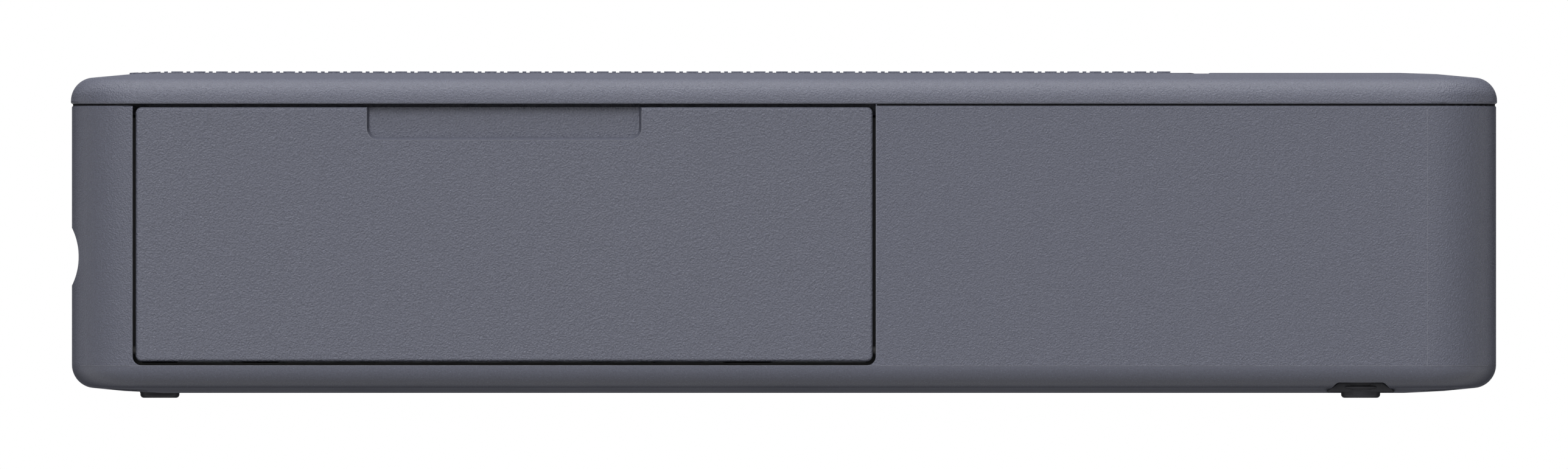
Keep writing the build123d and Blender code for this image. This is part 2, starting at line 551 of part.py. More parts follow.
def inner_guide():
    flats = Pos(TURN[0] - 2.5, TURN[1] + TURN_IN - 0.5) * Rectangle(5, 1)
    flats += Pos(TURN[0] - 2.5, TURN[1] - TURN_IN + 0.5) * Rectangle(5, 1)
    flats += Pos(TURN[0] - 4.6, TURN[1]) * Rectangle(0.8, 2 * TURN_IN - 0.5)
    return along_y(half_ring(TURN_IN, TURN_IN - GUIDE) + flats, NEAR_Y + PLATE, FAR_Y)


def lower_guide():
    guide = slab(2.4, TURN[0] - 0.3, NEAR_Y + PLATE, FAR_Y, 12.7, 13.7)
    guide -= slab(PINCH[0] - 3.9, PINCH[0] + 3.9, -ROLLER_HALF - 0.6, ROLLER_HALF + 0.6, 10, 16)
    for y in (-36, -12, 12, 36):
        guide += slab(20, TURN[0] - 3, y - 0.6, y + 0.6, 10, 12.8)
    return guide


# ------------------------------------------------------------------ rollers
def stepped_shaft(centre, radius, end_r, half, y0, y1):
    return rod_y(centre, radius, -half, half) + rod_y(centre, end_r, y0, y1)


def capstan_shaft():
    return stepped_shaft(CAPSTAN, CAPSTAN_R, SHAFT_R, 36, NEAR_Y - 0.5, LAYER_2 + GEAR_W)


def plain_shaft(centre, radius, end_y):
    return rod_y(centre, radius, NEAR_Y - 0.5, end_y)


def sleeve(centre, outer, inner, half):
    return tube_y(centre, outer, inner, -half, half)


def pick_tyres():
    return group([tube_y(PICK, PICK_R, SHAFT_R, y - 5, y + 5) for y in (-14, 14)])


# ------------------------------------------------------------------ motors
def feed_motor():
    can = rod_y(FEED_MOTOR, 6.8, 20, FAR_Y) + rod_y(FEED_MOTOR, 2.5, 18.6, 20.1)
    can -= rod_y(FEED_MOTOR, 1.0, FAR_Y - 1, FAR_Y + 1)
    return can


def ribbon_motor():
    can = rod_y(RIBBON_MOTOR, 5, 26, FAR_Y) & slab(-60, 60, 0, 60, RIBBON_MOTOR[1] - 4, RIBBON_MOTOR[1] + 4)
    can += rod_y(RIBBON_MOTOR, 1.6, 24.8, 26.1)
    return can - rod_y(RIBBON_MOTOR, 1.0, FAR_Y - 1, FAR_Y + 1)


# ------------------------------------------------------------------ print head
def head_bracket():
    plate = slab(HEAD_X0, -12.6, -37.5, 37.5, HEAD_TOP - 1.1, HEAD_TOP)
    for y in (-1, 1):
        y0, y1 = sorted((y * 36.2, y * 37.5))
        plate += slab(-17.6, -12.6, y0, y1, HEAD_PIVOT[1], HEAD_TOP - 0.5)
        plate += rod_y(HEAD_PIVOT, 2.1, y0, y1)
    return plate - rod_y(HEAD_PIVOT, STUD_R + 0.06, -60, 60)


def heat_sink():
    """A fin comb under the head bracket."""
    comb = slab(-35.5, -24.5, -32, 32, HEAD_TOP - 2.3, HEAD_TOP - 1.1)
    for i in range(5):
        x = -35.5 + 2.5 * i
        comb += slab(x, x + 1.0, -32, 32, 5.0, HEAD_TOP - 2.2)
    return comb


def head_substrate():
    """The ceramic strip with the glaze bead that carries the heating line."""
    strip = slab(-33.2, -24.2, -37, 37, HEAD_TOP, HEAD_TOP + 0.6)
    bead = rod_y((PLATEN[0], HEAD_TOP + 0.3), 1.0, -37, 37)
    return strip + (bead & slab(-40, -20, -40, 40, HEAD_TOP + 0.2, 13))


def lift_cam(y0, y1):
    """A cam whose radius grows evenly with the angle over half a turn."""
    low, high = 1.5, 2.29
    spiral = []
    for i in range(7):
        angle = math.radians(90 + 30 * i)
        spiral.append(polar((0, 0), low + (high - low) * i / 6, angle))
    outline = Spline(*spiral) + Line(spiral[-1], (0.4, -1.5)) + Line((0.4, -1.5), (1.5, 0.2))
    outline += Line((1.5, 0.2), spiral[0])
    return along_y(Pos(*LIFT_CAM) * make_face(outline), y0, y1)


def lift_camshaft():
    shaft = rod_y(LIFT_CAM, 1.0, NEAR_Y, FAR_Y + PLATE + 0.4)
    return shaft + lift_cam(-35.4, -33.4) + lift_cam(33.4, 35.4)


# ------------------------------------------------------------------ ink cassette
def housing(centre, way):
    """A C-shaped tube that is open towards the print line."""
    ring = Circle(HOUSING_R) - Circle(HOUSING_R - 0.6)
    mouth = Polygon((0, 0), (way * 8, 0.6), (way * 8, 9), (way * 1.4, 9), align=None)
    return along_y(Pos(*centre) * (ring - mouth), CASSETTE_Y0, CASSETTE_Y1)


def cassette_frame():
    frame = housing(SUPPLY, 1) + housing(TAKEUP, -1)
    frame += cassette_window(0, CASSETTE_Y1 - 1.6, CASSETTE_Y1)
    middle = (SUPPLY[0] + TAKEUP[0]) / 2
    half = (TAKEUP[0] - SUPPLY[0]) / 2 + HOUSING_R
    grip = Pos(middle, 8.8) * RectangleRounded(2 * half, 10.2, 2)
    frame += along_y(grip, -47.2, CASSETTE_Y0 + 0.1)
    frame += slab(SUPPLY[0], TAKEUP[0], CASSETTE_Y0 - 0.1, -41, 12.3, 13.5)
    for x in GUIDE_RODS:
        frame += rod_y((x, 13.1), 0.6, CASSETTE_Y0, CASSETTE_Y1)
    for centre in (SUPPLY, TAKEUP):
        frame -= rod_y(centre, 1.5 + PIN_FIT, CASSETTE_Y1 - 2, CASSETTE_Y1 + 1)
        frame += rod_y(centre, 0.9, CASSETTE_Y0, CASSETTE_Y0 + 3)
    frame += rod_y(((SUPPLY[0] + TAKEUP[0]) / 2, 8.8), 2.4, -47.6, -47.0)
    return frame


def spool(centre, bore_y1):
    core = rod_y(centre, 1.5, CASSETTE_Y0 + 0.4, CASSETTE_Y1 - 0.3)
    for y in (-40.6, 40.0):
        core += rod_y(centre, 3.7, y, y + 0.6)
    core -= rod_y(centre, 0.9 + PIN_FIT, CASSETTE_Y0, CASSETTE_Y0 + 3.3)
    return core - rod_y(centre, 0.9, bore_y1, CASSETTE_Y1 + 1)


def ribbon_web():
    """The film between the rolls: up from the supply roll, across, down to the take-up roll."""
    half = 0.05
    start = polar(SUPPLY, SUPPLY_ROLL_R + 0.35, math.radians(64))
    end = polar(TAKEUP, TAKEUP_ROLL_R + 0.35, math.radians(118))
    x0, x1 = GUIDE_RODS
    upper = [start, (x0 - 0.3, WEB_Z + half), (x1 + 0.3, WEB_Z + half), end]
    lower = [(end[0] - 0.1, end[1] - 0.05), (x1 + 0.25, WEB_Z - half), (x0 - 0.25, WEB_Z - half),
             (start[0] + 0.1, start[1] - 0.05)]
    return along_y(Polygon(*upper, *lower, align=None), -WEB_HALF, WEB_HALF)


def release_lever():
    """A small slide beside the cassette whose nose holds the cassette's end plate."""
    lever = slab(3.0, 8.2, -47.3, NEAR_Y - 0.1, 6.5, 12.0)
    lever += slab(-0.6, 4.0, -48.0, -47.5, 7.5, 10.0) + slab(3.0, 4.4, -48.0, -47.2, 6.5, 12.0)
    for x in (5.0, 6.0, 7.0):
        lever += slab(x, x + 0.4, -47.7, -47.2, 7.0, 11.5)
    return lever


# ------------------------------------------------------------------ electrics and controls
def main_board():
    board = slab(47.2, 63, -44, 44, BOARD_Z, BOARD_TOP)
    for x, y in BOARD_SCREWS:
        board -= rod_z(x, y, 0.95, 20, 30)
    return board


def board_components():
    top = BOARD_TOP
    return group([slab(50, 59, -30, -18, top, top + 1.4), slab(50, 57, -12, -5, top, top + 1),
                  slab(51, 60, 2, 18, top, top + 1.8), slab(49, 52, 24, 34, top, top + 2.4),
                  rod_z(57, 28, 2.2, top, top + 3.6)])


def board_screws():
    return group([screw(x, y, 1.6, BOARD_Z - 0.9, BOARD_Z, 0.8, 29.5) for x, y in BOARD_SCREWS])


def usb_c_receptacle():
    outline = Pos(USB_Y, USB_Z) * SlotOverall(8.94, 3.16)
    shell = along_x(outline, 64.7, 72.0)
    shell -= along_x(Pos(USB_Y, USB_Z) * SlotOverall(8.34, 2.56), 66.0, 73.0)
    return shell + slab(65.9, 71.2, USB_Y - 3.3, USB_Y + 3.3, USB_Z - 0.35, USB_Z + 0.35)


def power_button():
    return rod_x(BUTTON_Y, BUTTON_Z, BUTTON_R, 70.0, 72.55) + rod_x(BUTTON_Y, BUTTON_Z, 1.2, 67.9, 70.1)


def power_switch():
    body = slab(64.7, 66.6, BUTTON_Y - 3, BUTTON_Y + 3, BUTTON_Z - 3, BUTTON_Z + 3)
    return body + rod_x(BUTTON_Y, BUTTON_Z, 1.5, 66.5, 67.1)


def light_guides():
    return group([rod_x(y, LIGHT_Z, LIGHT_R, 64.7, 72.75) for y in LIGHT_YS])


def battery_pack():
    pack = slab(47.6, 61.6, -46.2, 8.2, FLOOR_Z, 23)
    return fillet(pack.edges().filter_by(Axis.Y), 2.5)


# ------------------------------------------------------------------ export
NODES = {
    "lower_case": lower_case(), "top_cover": top_cover(),
    "front_feet": front_feet(), "rear_feet": rear_feet(), "case_screws": case_screws(),
    "lid": lid(), "pressure_plate": pressure_plate(),
    "lid_hinge_pins": pins_y((LID_AXIS_X, LID_AXIS_Z), 0.8, 37, 46.5),
    "plate_pins": pins_y((PLATE_X, PLATE_Z), 0.6, 33, 37.9),
    "ink_door": ink_door(), "door_stop": door_stop(), "door_hinge_pins": group(hinge_pin_rods(3)),
    "chassis": chassis(), "shaft_bushes": shaft_bushes(), "gear_studs": gear_studs(),
    "paper_tray": paper_tray(), "turn_guide": turn_guide(), "inner_guide": inner_guide(),
    "lower_guide": lower_guide(),
    "capstan_shaft": capstan_shaft(),
    "capstan_gear": layer_gear(CAPSTAN, N_CAPSTAN, PHASE_CAPSTAN, LAYER_2, SHAFT_R),
    "pinch_shaft": plain_shaft(PINCH, STUD_R, FAR_Y + PLATE + 0.2),
    "pinch_rubber": sleeve(PINCH, PINCH_R, STUD_R, ROLLER_HALF),
    "platen_shaft": plain_shaft(PLATEN, SHAFT_R, FAR_Y + PLATE + 0.3),
    "platen_rubber": sleeve(PLATEN, PLATEN_R, SHAFT_R, ROLLER_HALF),
    "pick_shaft": plain_shaft(PICK, SHAFT_R, LAYER_1 + GEAR_W),
    "pick_tyres": pick_tyres(),
    "pick_gear": layer_gear(PICK, N_PICK, PHASE_PICK, LAYER_1, SHAFT_R),
    "feed_motor": feed_motor(), "feed_pinion": pinion(FEED_MOTOR, N_MOTOR, PHASE_MOTOR),
    "compound_gear": compound_gear(), "feed_idler": feed_idler(),
    "pick_idler": layer_gear(PICK_IDLER, N_PICK_IDLER, PHASE_PICK_IDLER, LAYER_1, STUD_R + PIN_FIT),
    "ribbon_motor": ribbon_motor(), "ribbon_pinion": pinion(RIBBON_MOTOR, N_RIBBON, PHASE_RIBBON),
    "ribbon_idler": layer_gear(RIBBON_IDLER, N_RIBBON_IDLER, PHASE_RIBBON_IDLER, LAYER_1, STUD_R + PIN_FIT),
    "takeup_hub": takeup_hub(),
    "head_bracket": head_bracket(), "heat_sink": heat_sink(), "head_substrate": head_substrate(),
    "head_pivot_shaft": rod_y(HEAD_PIVOT, STUD_R, NEAR_Y, FAR_Y + PLATE),
    "lift_camshaft": lift_camshaft(),
    "cassette_frame": cassette_frame(),
    "supply_spool": spool(SUPPLY, CASSETTE_Y1), "takeup_spool": spool(TAKEUP, FAR_Y - 4.2),
    "supply_ribbon": tube_y(SUPPLY, SUPPLY_ROLL_R, 1.5, -WEB_HALF, WEB_HALF),
    "takeup_ribbon": tube_y(TAKEUP, TAKEUP_ROLL_R, 1.5, -WEB_HALF, WEB_HALF),
    "ribbon_web": ribbon_web(), "release_lever": release_lever(),
    "main_board": main_board(), "board_components": board_components(), "board_screws": board_screws(),
    "interface_board": slab(63.5, 64.7, -28, 28, FLOOR_Z + 1.6, 20),
    "usb_c_receptacle": usb_c_receptacle(), "power_button": power_button(), "power_switch": power_switch(),
    "light_guides": light_guides(), "battery_pack": battery_pack(),
}

for name, solid in NODES.items():
    export_step(solid, f"parts/{name}.step")
print(len(NODES), "nodes")
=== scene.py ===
import math

import bmesh
import bpy
from mathutils import Matrix, Vector


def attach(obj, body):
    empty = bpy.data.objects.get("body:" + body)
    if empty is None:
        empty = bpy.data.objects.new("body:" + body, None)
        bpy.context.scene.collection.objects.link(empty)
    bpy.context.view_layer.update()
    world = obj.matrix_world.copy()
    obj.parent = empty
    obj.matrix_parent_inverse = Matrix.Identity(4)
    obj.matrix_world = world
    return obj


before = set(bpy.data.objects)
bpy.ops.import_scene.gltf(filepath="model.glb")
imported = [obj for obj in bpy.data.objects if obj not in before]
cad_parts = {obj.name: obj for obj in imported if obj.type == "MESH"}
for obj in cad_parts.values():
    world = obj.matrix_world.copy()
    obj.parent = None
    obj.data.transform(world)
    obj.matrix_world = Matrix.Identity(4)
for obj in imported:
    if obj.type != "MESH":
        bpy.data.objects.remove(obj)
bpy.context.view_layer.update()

bl_info = {
    "name": "Compact Photo Printer",
    "version": (1, 0, 0),
    "blender": (4, 5, 0),
    "location": "View3D > Sidebar > Printer",
    "description": "Dresses the packed photo printer with moulded, turned and sheet finishes",
    "category": "Object",
}

MM = 0.001
BRASS = (0.62, 0.43, 0.16)

# the case in millimetres, for the thin lines that lie on it: the pale ridges carry painted highlight, the
# black seam strip painted shade
CORNER_X, CORNER_Y, CORNER_R = 65.8, 44.0, 7.0      # centres of the corner arcs
CASE_Y = CORNER_Y + CORNER_R
TOWARDS_DOOR = Vector((0, -1, 0))
LINE_Z = 3.28                                       # top of the rounded lower edge
LINE_TURN = 62                                      # degrees that this line runs round a corner
POST_TOP_Z = 29.6                                   # upper end of the upright line at the rear corner
DOOR_LINES_X = (-66.65, 9.42)                       # just outside the door's gaps
DOOR_LINES_Z = (4.3, 29.65)
COVER_LINE_Z, COVER_LINE_OUT = 30.17, 0.079         # on the rounded lower edge of the cover
SEAM_Z, SEAM_IN = 29.97, 0.12
SEAM_ENDS_X = (9.5, -66.75)                         # the black strip of painted seam shade stops at the door opening
RECESS_X, RECESS_Z, RECESS_TOP_Z = (-42.68, -14.54), 26.35, 29.4
RECESS_R = 1.2
SUNK = 0.03                                         # how far a ridge's foot lies in its wall

# the rubber in the rear pockets, in millimetres: x from, x to, height
PAD_BASE, PAD_TOP = (55.45, 62.45, 0.62), (56.7, 61.2, 1.54)
PAD_Y = (43.0, 48.35)
PAD_BUTTON = (58.95, 46.4)
BUTTON_PROFILE = ((1.98, 0.56), (2.06, 0.72), (2.24, 0.88), (2.55, 1.0), (2.55, 1.2))


# ---------------------------------------------------------------- sizes and colours
class CaseFinish(bpy.types.PropertyGroup):
    """The grained outer shells"""
    wall_colour: bpy.props.FloatVectorProperty(
        name="Wall colour", description="Colour of the case and the cover",
        subtype="COLOR", size=3, min=0, max=1, default=(0.127, 0.133, 0.172))
    door_colour: bpy.props.FloatVectorProperty(
        name="Door colour", description="Colour of the ink door, moulded in a batch of its own",
        subtype="COLOR", size=3, min=0, max=1, default=(0.130, 0.136, 0.174))
    foot_colour: bpy.props.FloatVectorProperty(
        name="Foot colour", description="Colour of the rubber feet",
        subtype="COLOR", size=3, min=0, max=1, default=(0.030, 0.030, 0.036))
    grain_size: bpy.props.FloatProperty(
        name="Grain size", description="Width of one cell of the leathery grain",
        subtype="DISTANCE", unit="LENGTH", min=0.00005, default=0.00014)
    grain_depth: bpy.props.FloatProperty(
        name="Grain depth", description="Height of the grain from pit to crest",
        subtype="DISTANCE", unit="LENGTH", min=0.0, default=0.000068)


class WorksFinish(bpy.types.PropertyGroup):
    """The parts inside the case"""
    inner_colour: bpy.props.FloatVectorProperty(
        name="Inner mouldings", description="Colour of the tray, guides and cassette",
        subtype="COLOR", size=3, min=0, max=1, default=(0.024, 0.024, 0.027))
    gear_colour: bpy.props.FloatVectorProperty(
        name="Gears", description="Colour of the acetal gears and spools",
        subtype="COLOR", size=3, min=0, max=1, default=(0.74, 0.72, 0.66))
    film_colour: bpy.props.FloatVectorProperty(
        name="Dye film", description="Colour of the wound dye film",
        subtype="COLOR", size=3, min=0, max=1, default=(0.50, 0.36, 0.035))
    board_colour: bpy.props.FloatVectorProperty(
        name="Solder mask", description="Colour of the circuit boards",
        subtype="COLOR", size=3, min=0, max=1, default=(0.010, 0.095, 0.040))


class Studio(bpy.types.PropertyGroup):
    """Camera, lamps and floor"""
    distance: bpy.props.FloatProperty(
        name="Camera distance", description="From the camera to the middle of the printer",
        subtype="DISTANCE", unit="LENGTH", default=2.0)
    eye_height: bpy.props.FloatProperty(
        name="Eye height", description="Height of the camera above the floor",
        subtype="DISTANCE", unit="LENGTH", default=0.01671)
    frame_width: bpy.props.FloatProperty(
        name="Frame width", description="Width of the picture, which has no perspective",
        subtype="DISTANCE", unit="LENGTH", default=0.1603)
    key: bpy.props.FloatProperty(
        name="Key lamp", description="Power of the softbox high in front of the printer",
        unit="POWER", min=0, default=23.5)
    high: bpy.props.FloatProperty(
        name="High lamp", description="Power of the softbox above the key lamp",
        unit="POWER", min=0, default=1.6)
    overhead: bpy.props.FloatProperty(
        name="Overhead lamp", description="Power of the softbox above the printer",
        unit="POWER", min=0, default=4.6)
    top: bpy.props.FloatProperty(
        name="Top lamp", description="Power of the wide lamp over the front edge",
        unit="POWER", min=0, default=3.4)
    side_strip: bpy.props.FloatProperty(
        name="Side strip", description="Power of the narrow lamp at the front left",
        unit="POWER", min=0, default=5.6)
    back: bpy.props.FloatProperty(
        name="Back lamp", description="Power of the low softbox behind the printer",
        unit="POWER", min=0, default=16.0)
    room: bpy.props.FloatProperty(
        name="Room light", description="Strength of the even light from all round",
        min=0, default=0.03)


# ---------------------------------------------------------------- shared effects
def shader_group(name, inputs, outputs):
    """A shader node group with its sockets, and its two end nodes."""
    tree = bpy.data.node_groups.new(name, "ShaderNodeTree")
    for label, kind, value in inputs:
        socket = tree.interface.new_socket(label, in_out="INPUT", socket_type=kind)
        if value is not None:
            socket.default_value = value
    for label, kind in outputs:
        tree.interface.new_socket(label, in_out="OUTPUT", socket_type=kind)
    return tree, tree.nodes.new("NodeGroupInput"), tree.nodes.new("NodeGroupOutput")


def math_node(tree, operation, a, b=None):
    """A Math node's output, from numbers and sockets."""
    node = tree.nodes.new("ShaderNodeMath")
    node.operation = operation
    for socket, value in zip(node.inputs, (a, b)):
        if value is None:
            continue
        if isinstance(value, (int, float)):
            socket.default_value = value
        else:
            tree.links.new(value, socket)
    return node.outputs[0]


def remap(tree, value, low, high, start=0.3, stop=0.7):
    """Stretches a value's middle range, from start to stop, to the range from low to high."""
    node = tree.nodes.new("ShaderNodeMapRange")
    tree.links.new(value, node.inputs["Value"])
    for label, bound in (("From Min", start), ("From Max", stop), ("To Min", low), ("To Max", high)):
        node.inputs[label].default_value = bound
    return node.outputs[0]


def noise(tree, place, scale, detail, dimensions="3D"):
    """Noise over a place, or along one value in 1D, with its scale from a socket."""
    node = tree.nodes.new("ShaderNodeTexNoise")
    node.noise_dimensions = dimensions
    tree.links.new(place, node.inputs["W" if dimensions == "1D" else "Vector"])
    tree.links.new(scale, node.inputs["Scale"])
    node.inputs["Detail"].default_value = detail
    return node.outputs["Fac"]


def leathery_grain():
    """Etched mould grain: rounded cells of one width, with painted highlight on the odd crest, a bright
    glint added to the tone.

    Below the fade height the mould was polished and the grain is nearly gone."""
    tree, start, end = shader_group(
        "Leathery grain",
        [("Vector", "NodeSocketVector", None), ("Cell Size", "NodeSocketFloat", 0.0003),
         ("Fade Height", "NodeSocketFloat", -1.0), ("Fade To", "NodeSocketFloat", 0.3)],
        [("Height", "NodeSocketFloat"), ("Tone", "NodeSocketFloat")])
    place = start.outputs["Vector"]
    per_metre = math_node(tree, "DIVIDE", 1.0, start.outputs["Cell Size"])
    fine = noise(tree, place, per_metre, 1.5)
    cells = tree.nodes.new("ShaderNodeTexVoronoi")
    cells.feature = "SMOOTH_F1"
    tree.links.new(place, cells.inputs["Vector"])
    tree.links.new(math_node(tree, "MULTIPLY", per_metre, 0.75), cells.inputs["Scale"])
    mixed = math_node(tree, "ADD", math_node(tree, "MULTIPLY", fine, 1.2),
                      math_node(tree, "MULTIPLY", cells.outputs["Distance"], 0.55))
    split = tree.nodes.new("ShaderNodeSeparateXYZ")
    tree.links.new(place, split.inputs[0])
    above = math_node(tree, "GREATER_THAN", split.outputs["Z"], start.outputs["Fade Height"])
    left = math_node(tree, "MULTIPLY", math_node(tree, "SUBTRACT", 1.0, above), start.outputs["Fade To"])
    strength = math_node(tree, "ADD", above, left)
    tree.links.new(math_node(tree, "MULTIPLY", mixed, strength), end.inputs["Height"])
    # painted highlight: bright glints added to the tone on the odd crest, for the gloss that a crest catches
    grains = tree.nodes.new("ShaderNodeTexVoronoi")
    tree.links.new(place, grains.inputs["Vector"])
    tree.links.new(math_node(tree, "MULTIPLY", per_metre, 1.1), grains.inputs["Scale"])
    chance = tree.nodes.new("ShaderNodeSeparateColor")
    tree.links.new(grains.outputs["Color"], chance.inputs[0])
    chosen = math_node(tree, "GREATER_THAN", chance.outputs[0], 0.95)
    core = math_node(tree, "LESS_THAN", grains.outputs["Distance"], 0.3)
    painted_glint = math_node(tree, "MULTIPLY", math_node(tree, "MULTIPLY", chosen, core), 0.6)
    tone = math_node(tree, "ADD", remap(tree, fine, 0.86, 1.10), painted_glint)
    tree.links.new(tone, end.inputs["Tone"])
    return tree


def tone_drift():
    """Slow change of tone over a surface, from the melt's flow and from handling."""
    tree, start, end = shader_group(
        "Tone drift",
        [("Vector", "NodeSocketVector", None), ("Patch Size", "NodeSocketFloat", 0.02),
         ("Amount", "NodeSocketFloat", 0.03)],
        [("Tone", "NodeSocketFloat"), ("Mask", "NodeSocketFloat")])
    per_metre = math_node(tree, "DIVIDE", 1.0, start.outputs["Patch Size"])
    patches = noise(tree, start.outputs["Vector"], per_metre, 3.0)
    swing = math_node(tree, "MULTIPLY", math_node(tree, "SUBTRACT", patches, 0.5),
                      math_node(tree, "MULTIPLY", start.outputs["Amount"], 2.0))
    tree.links.new(math_node(tree, "ADD", swing, 1.0), end.inputs["Tone"])
    tree.links.new(patches, end.inputs["Mask"])
    return tree


def turning_marks():
    """Fine rings round an axis along Y, as a lathe or a grinder leaves them."""
    tree, start, end = shader_group(
        "Turning marks",
        [("Vector", "NodeSocketVector", None), ("Pitch", "NodeSocketFloat", 0.00008)],
        [("Height", "NodeSocketFloat"), ("Mask", "NodeSocketFloat")])
    split = tree.nodes.new("ShaderNodeSeparateXYZ")
    tree.links.new(start.outputs["Vector"], split.inputs[0])
    per_metre = math_node(tree, "DIVIDE", 1.0, start.outputs["Pitch"])
    rings = noise(tree, split.outputs["Y"], per_metre, 2.0, "1D")
    tree.links.new(rings, end.inputs["Height"])
    tree.links.new(rings, end.inputs["Mask"])
    return tree


def zinc_spangle():
    """Flat crystals of a zinc coat, each with its own tone."""
    tree, start, end = shader_group(
        "Zinc spangle",
        [("Vector", "NodeSocketVector", None), ("Crystal", "NodeSocketFloat", 0.0025)],
        [("Tone", "NodeSocketFloat"), ("Roughness", "NodeSocketFloat")])
    crystals = tree.nodes.new("ShaderNodeTexVoronoi")
    tree.links.new(start.outputs["Vector"], crystals.inputs["Vector"])
    tree.links.new(math_node(tree, "DIVIDE", 1.0, start.outputs["Crystal"]), crystals.inputs["Scale"])
    split = tree.nodes.new("ShaderNodeSeparateColor")
    tree.links.new(crystals.outputs["Color"], split.inputs[0])
    tone = math_node(tree, "ADD", math_node(tree, "MULTIPLY", split.outputs[0], 0.12), 0.94)
    rough = math_node(tree, "ADD", math_node(tree, "MULTIPLY", split.outputs[1], 0.12), 0.36)
    tree.links.new(tone, end.inputs["Tone"])
    tree.links.new(rough, end.inputs["Roughness"])
    return tree


EFFECTS = {"grain": leathery_grain, "drift": tone_drift, "turning": turning_marks, "spangle": zinc_spangle}
built = {}


def effect(name):
    """A shared effect's node group, made when it is first asked for."""
    if name not in built:
        built[name] = EFFECTS[name]()
    return built[name]


def mix_shaders(tree, amount, first, second):
    """The first shader where the amount is 0 and the second where it is 1."""
    node = tree.nodes.new("ShaderNodeMixShader")
    for socket, source in zip(node.inputs, (amount, first, second)):
        tree.links.new(source, socket)
    return node.outputs[0]


# ---------------------------------------------------------------- materials
class Finish:
    """One material under way: its Principled shader and the effects placed in it."""

    def __init__(self, name, colour, roughness, **sockets):
        self.material = bpy.data.materials.new(name)
        self.material.use_nodes = True
        self.tree = self.material.node_tree
        self.shader = self.tree.nodes["Principled BSDF"]
        self.colour = tuple(colour)
        self.shader.inputs["Base Color"].default_value = (*self.colour, 1)
        self.shader.inputs["Roughness"].default_value = roughness
        self.set(self.shader, sockets)
        self.place = self.tree.nodes.new("ShaderNodeTexCoord").outputs["Object"]

    @staticmethod
    def set(node, sockets):
        """Sets a node's sockets, whose names hold a line for each space."""
        for label, value in sockets.items():
            node.inputs[label.replace("_", " ")].default_value = value

    def use(self, name, **sockets):
        """Places a shared effect in this material."""
        node = self.tree.nodes.new("ShaderNodeGroup")
        node.node_tree = effect(name)
        self.tree.links.new(self.place, node.inputs["Vector"])
        self.set(node, sockets)
        return node

    def tint(self, *tones):
        """Base colour times the tones."""
        tone = tones[0]
        for other in tones[1:]:
            tone = math_node(self.tree, "MULTIPLY", tone, other)
        scale = self.tree.nodes.new("ShaderNodeVectorMath")
        scale.operation = "SCALE"
        scale.inputs[0].default_value = self.colour
        self.tree.links.new(tone, scale.inputs["Scale"])
        self.tree.links.new(scale.outputs["Vector"], self.shader.inputs["Base Color"])

    def bump(self, height, depth):
        """Relief of a given depth in metres."""
        node = self.tree.nodes.new("ShaderNodeBump")
        node.inputs["Strength"].default_value = 1.0
        node.inputs["Distance"].default_value = depth
        self.tree.links.new(height, node.inputs["Height"])
        self.tree.links.new(node.outputs["Normal"], self.shader.inputs["Normal"])

    def rough(self, mask, bounds, matt_rim=False):
        """Roughness from a mask. With matt_rim the grain hides its gloss from a glancing eye."""
        value = remap(self.tree, mask, *bounds)
        if matt_rim:
            facing = self.tree.nodes.new("ShaderNodeLayerWeight")
            facing.inputs["Blend"].default_value = 0.5
            rim = remap(self.tree, facing.outputs["Facing"], 0.0, 0.6, start=0.35, stop=0.75)
            value = math_node(self.tree, "ADD", value, rim)
        self.tree.links.new(value, self.shader.inputs["Roughness"])


def grained_plastic(name, colour, cell, depth, rough, fade=-1.0):
    """Moulded plastic with an etched grain, polished below the fade height."""
    made = Finish(name, colour, sum(rough) / 2, Specular_IOR_Level=0.38)
    grain = made.use("grain", Cell_Size=cell, Fade_Height=fade)
    drift = made.use("drift", Patch_Size=0.03, Amount=0.02)
    # the grain's tone holds painted glints of highlight as well as the grain's own tone
    made.tint(grain.outputs["Tone"], drift.outputs["Tone"])
    made.rough(drift.outputs["Mask"], rough, matt_rim=True)
    made.bump(grain.outputs["Height"], depth)
    return made.material


def turned_metal(name, colour, pitch, rough):
    """Metal turned or ground on an axis along Y."""
    made = Finish(name, colour, sum(rough) / 2, Metallic=1.0)
    marks = made.use("turning", Pitch=pitch)
    drift = made.use("drift", Patch_Size=0.006, Amount=0.05)
    made.tint(drift.outputs["Tone"])
    made.rough(marks.outputs["Mask"], rough)
    made.bump(marks.outputs["Height"], 0.0000008)
    return made.material


def gritted_metal(name, colour, cell):
    """A capstan's steel, covered with a fine grit that grips the paper."""
    made = Finish(name, colour, 0.4, Metallic=1.0)
    grain = made.use("grain", Cell_Size=cell)
    # the grain's tone holds painted glints of highlight as well as the grit's own tone
    made.tint(grain.outputs["Tone"])
    made.bump(grain.outputs["Height"], 0.00001)
    return made.material


def extruded_metal(name, colour, rough):
    """Aluminium with the long faint streaks of its die."""
    made = Finish(name, colour, 0.34, Metallic=1.0)
    marks = made.use("turning", Pitch=0.0006)
    drift = made.use("drift", Patch_Size=0.01, Amount=0.04)
    made.tint(drift.outputs["Tone"])
    made.rough(marks.outputs["Mask"], rough)
    return made.material


def zinc_sheet(name, colour, crystal):
    """Galvanised sheet."""
    made = Finish(name, colour, 0.4, Metallic=1.0)
    spangle = made.use("spangle", Crystal=crystal)
    made.tint(spangle.outputs["Tone"])
    made.tree.links.new(spangle.outputs["Roughness"], made.shader.inputs["Roughness"])
    return made.material


def smooth_plastic(name, colour, rough, patch=0.008, amount=0.03, **sockets):
    """Polished mouldings, films and rubber with a soft change of tone and shine."""
    made = Finish(name, colour, sum(rough) / 2, **sockets)
    drift = made.use("drift", Patch_Size=patch, Amount=amount)
    made.tint(drift.outputs["Tone"])
    made.rough(drift.outputs["Mask"], rough)
    return made.material


def painted_highlight_plastic(name):
    """Smooth, paler plastic for a mould line or a crisp rim; the paler colour is painted highlight, for the
    light that a rounded edge catches.
    """
    return smooth_plastic(name, (0.19, 0.195, 0.23), (0.3, 0.5), patch=0.0015, amount=0.5)


